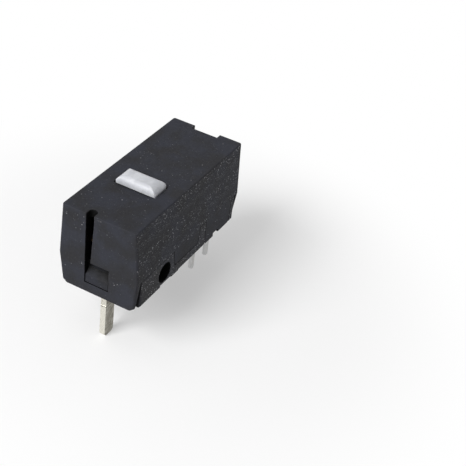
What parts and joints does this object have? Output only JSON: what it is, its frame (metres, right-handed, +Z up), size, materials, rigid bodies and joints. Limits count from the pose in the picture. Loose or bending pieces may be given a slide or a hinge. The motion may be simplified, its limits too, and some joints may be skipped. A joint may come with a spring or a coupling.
{
  "type": "subminiature optical micro switch",
  "caption": "Small black snap-action switch with a white plunger, a light gate inside and solder pins below.",
  "frame": {"origin": "centre of the body's outline in the board's seating plane, where the feet of the cover's end walls lie", "axes": "+X along the body away from the wide solder terminal, +Y across the body, from the emitter to the receiver, +Z up towards the plunger"},
  "size_m": [0.0128, 0.0058, 0.0103],
  "materials": {
    "case_plastic": "fine matt moulded texture",
    "base_plastic": "matt moulded, a little smoother than the cover",
    "plunger_plastic": "satin moulded",
    "spring_bronze": "rolled strip",
    "terminal_metal": "plated, dull and rough by the body and tinned at the tip",
    "lead_metal": "tin plated",
    "package_resin": "moulded, passes infrared",
    "shutter_plastic": "moulded, opaque",
    "chip": "polished chip"
  },
  "bodies": {
    "housing": {"cover": "case_plastic", "base": "base_plastic", "anchor_terminal": "terminal_metal", "emitter_body": "package_resin", "emitter_narrow_lead": "lead_metal", "emitter_wide_lead": "lead_metal", "emitter_tie": "lead_metal", "emitter_die": "chip", "receiver_body": "package_resin", "receiver_narrow_lead": "lead_metal", "receiver_wide_lead": "lead_metal", "receiver_tie": "lead_metal", "receiver_die": "chip"},
    "plunger": {"plunger": "plunger_plastic"},
    "blade": {"snap_blade": "spring_bronze", "shutter": "shutter_plastic"}
  },
  "joints": [
    {"name": "plunger_slide", "type": "slide", "parent": "housing", "child": "plunger", "axis": [0, 0, -1], "range_m": [0, 0.00035], "stiffness_N_per_m": 1000, "springref_m": -0.0003},
    {"name": "blade_hinge", "type": "hinge", "parent": "housing", "child": "blade", "pos_m": [-0.00511, 0, 0.0035], "axis": [0, 1, 0], "range_deg": [0, 6.21]}
  ],
  "couplings": [
    {"joint": "blade_hinge", "follows": "plunger_slide", "rad_per_m": 309.6}
  ]
}
